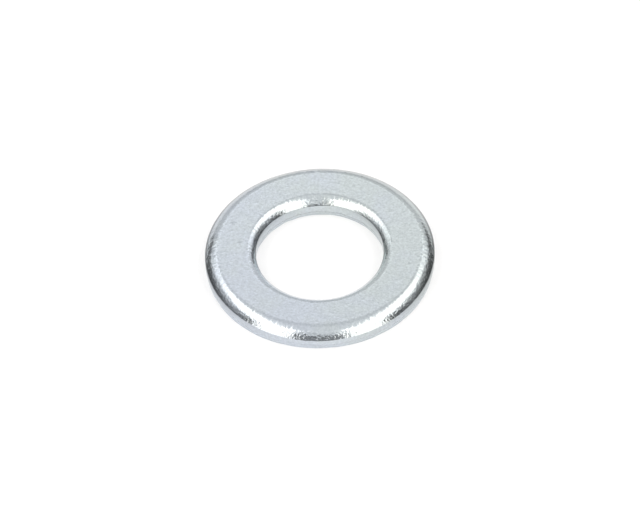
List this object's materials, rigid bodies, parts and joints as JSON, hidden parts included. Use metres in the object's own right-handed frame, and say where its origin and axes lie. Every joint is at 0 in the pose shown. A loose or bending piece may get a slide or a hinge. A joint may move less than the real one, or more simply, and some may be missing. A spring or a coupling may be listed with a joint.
{
  "type": "flat washer",
  "caption": "Thin round metal washer with a plain bolt hole, rolled top edges and sharper bottom edges, which spreads the load of a bolt head or nut.",
  "frame": {"origin": "centre of the hole, on the bottom bearing face", "axes": "+Z along the hole's axis, from the bottom bearing face to the rolled top face; +X and +Y are any two directions across the round washer"},
  "size_m": [0.02, 0.02, 0.002],
  "materials": {
    "zinc_plate": "satin"
  },
  "bodies": {
    "root": {"washer": "zinc_plate"}
  },
  "joints": []
}
